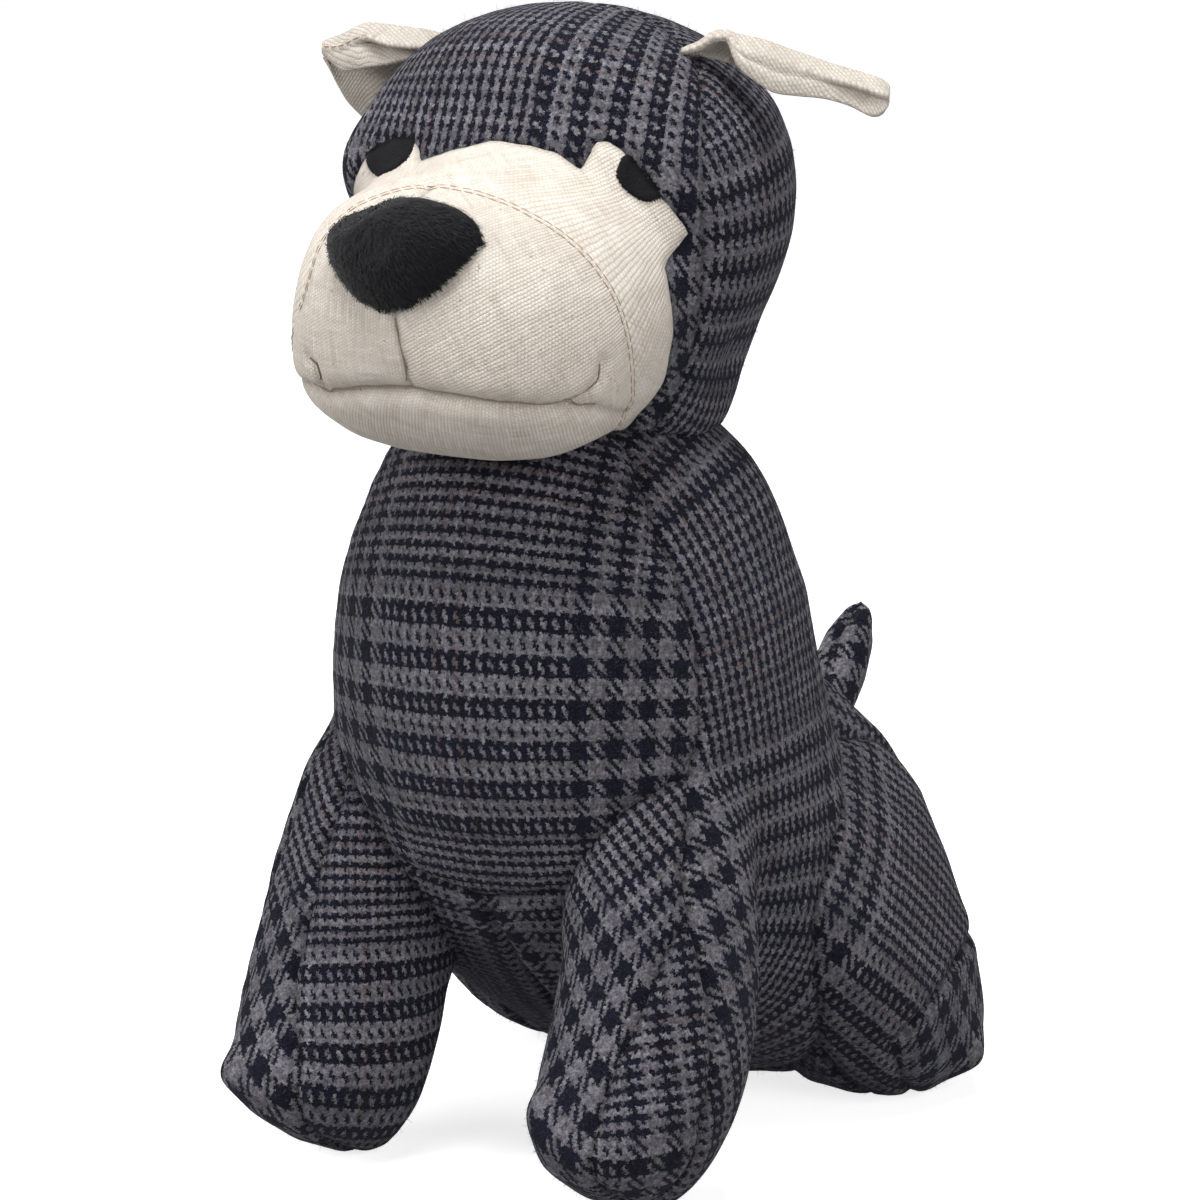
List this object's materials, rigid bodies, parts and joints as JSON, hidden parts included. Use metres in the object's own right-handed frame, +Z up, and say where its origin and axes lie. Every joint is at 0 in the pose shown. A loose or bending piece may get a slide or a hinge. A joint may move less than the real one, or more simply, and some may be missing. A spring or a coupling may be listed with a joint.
{
  "type": "dog door stop",
  "caption": "Seated plush dog door stop: glen-check wool body and head, linen muzzle and folded ears, black nose and eyes, weighted low in the body.",
  "frame": {"origin": "middle of the flat patch under the rump, on the floor", "axes": "+Z up, -Y the way the dog looks, +X the dog's left"},
  "size_m": [0.1627, 0.2388, 0.29],
  "materials": {
    "wool_cloth": "brushed wool twill, glen check",
    "linen": "unbleached linen, plain weave",
    "nose_fleece": "short black pile",
    "eye_thread": "black satin-stitched thread",
    "filling": "polyester fibre",
    "sack_cloth": "plain cotton sack"
  },
  "bodies": {
    "root": {"body_stuffing": "filling", "sand_bag": "sack_cloth", "base_panel": "wool_cloth", "chest_panel": "wool_cloth", "side_panel_left": "wool_cloth", "side_panel_right": "wool_cloth", "front_leg_left": "wool_cloth", "front_leg_right": "wool_cloth", "hind_leg_left": "wool_cloth", "hind_leg_right": "wool_cloth", "tail": "wool_cloth", "head_stuffing": "filling", "crown_panel": "wool_cloth", "head_side_left": "wool_cloth", "head_side_right": "wool_cloth", "face_patch": "linen", "chin_panel": "linen", "muzzle_left": "linen", "muzzle_right": "linen", "nose": "nose_fleece", "eye_left": "eye_thread", "eye_right": "eye_thread", "ear_left": "linen", "ear_right": "linen"}
  },
  "joints": []
}
